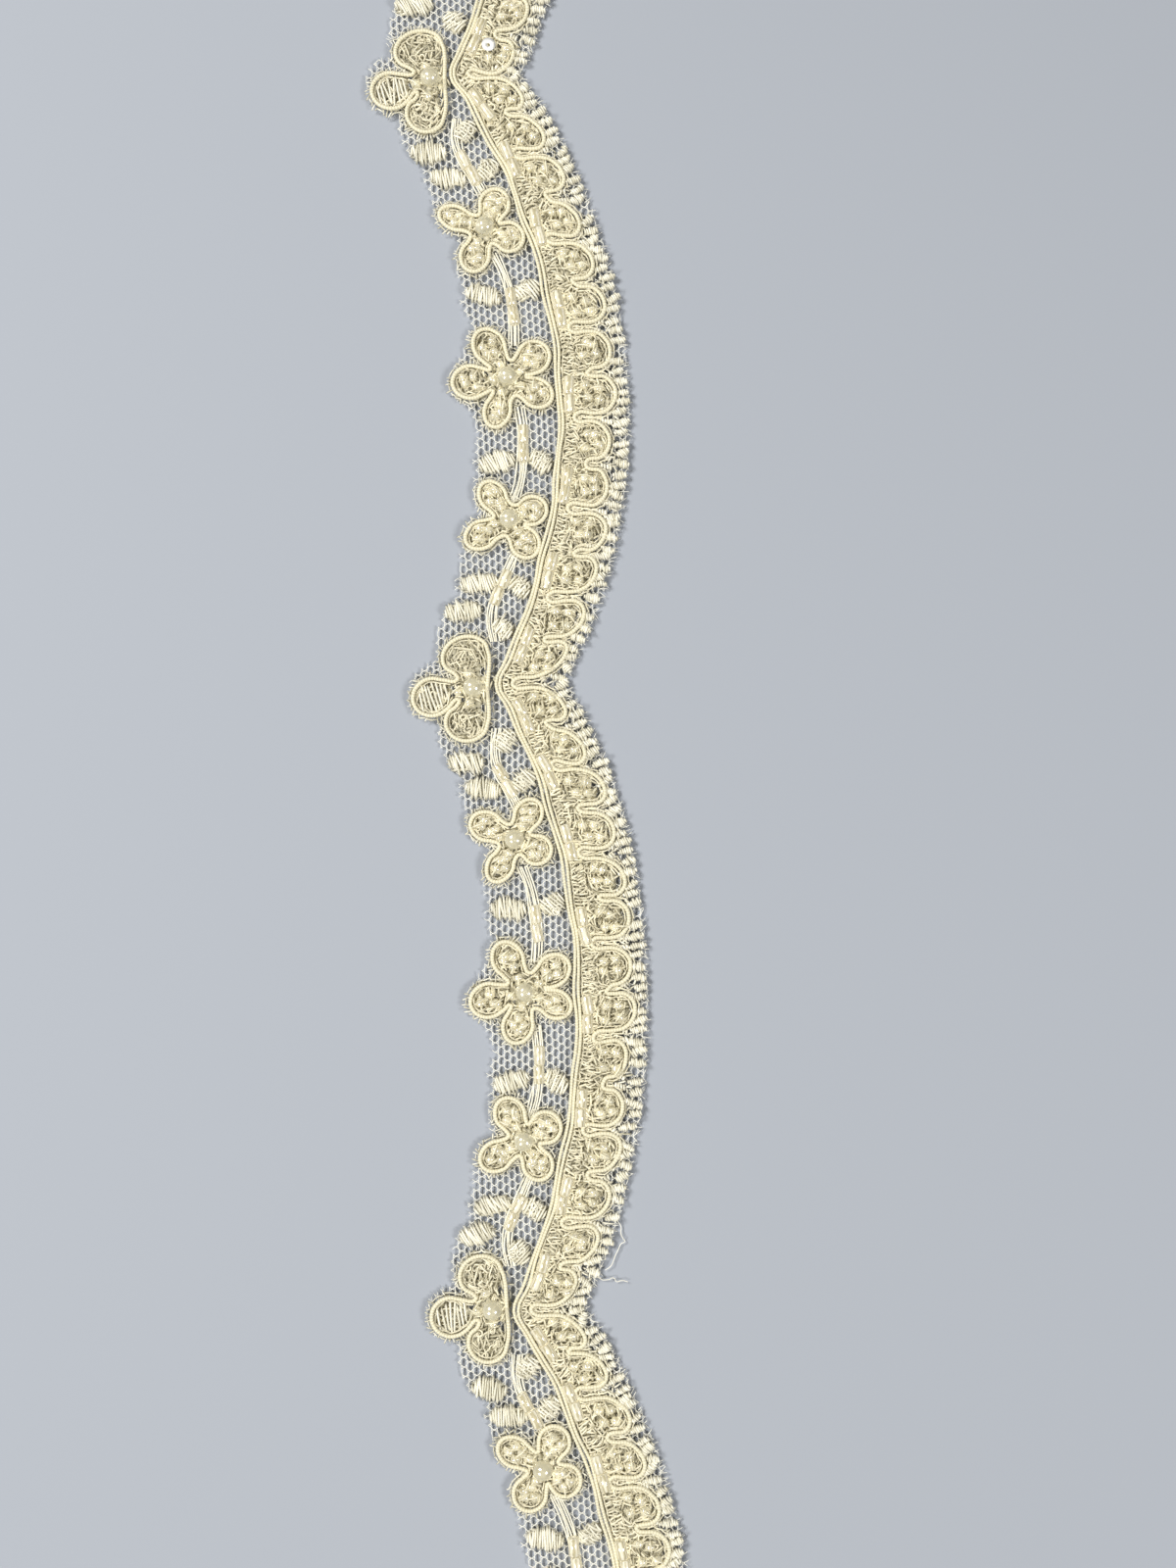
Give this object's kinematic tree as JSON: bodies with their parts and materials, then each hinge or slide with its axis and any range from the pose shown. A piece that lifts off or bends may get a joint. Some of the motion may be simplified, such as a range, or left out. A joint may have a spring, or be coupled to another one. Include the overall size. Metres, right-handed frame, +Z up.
{
  "type": "beaded corded lace trim",
  "caption": "Flat cut length of scalloped ivory lace edging on net, with looped gimp cord, corded flowers, satin leaves, round glass centre beads and a picot edge.",
  "frame": {"origin": "on the surface it lies on, under the middle of the trim's box", "axes": "+Y along the length, +X towards the picot edge, +Z up out of the beaded right side"},
  "size_m": [0.0492, 0.335, 0.0051],
  "materials": {
    "net": "matt cotton and polyester thread on net",
    "cord": "smooth viscose gimp with a soft sheen",
    "bead": "clear polished glass"
  },
  "bodies": {
    "root": {"net_ground": "net", "spine_cord_inner": "cord", "spine_cord_outer": "cord", "wave_cord": "cord", "flower_cord_01": "cord", "flower_cord_02": "cord", "flower_cord_03": "cord", "flower_cord_04": "cord", "flower_cord_05": "cord", "flower_cord_06": "cord", "flower_cord_07": "cord", "flower_cord_08": "cord", "flower_cord_09": "cord", "flower_cord_10": "cord", "flower_cord_11": "cord", "centre_bead_01": "bead", "centre_bead_02": "bead", "centre_bead_03": "bead", "centre_bead_04": "bead", "centre_bead_05": "bead", "centre_bead_06": "bead", "centre_bead_07": "bead", "centre_bead_08": "bead", "centre_bead_09": "bead", "centre_bead_10": "bead", "centre_bead_11": "bead"}
  },
  "joints": []
}
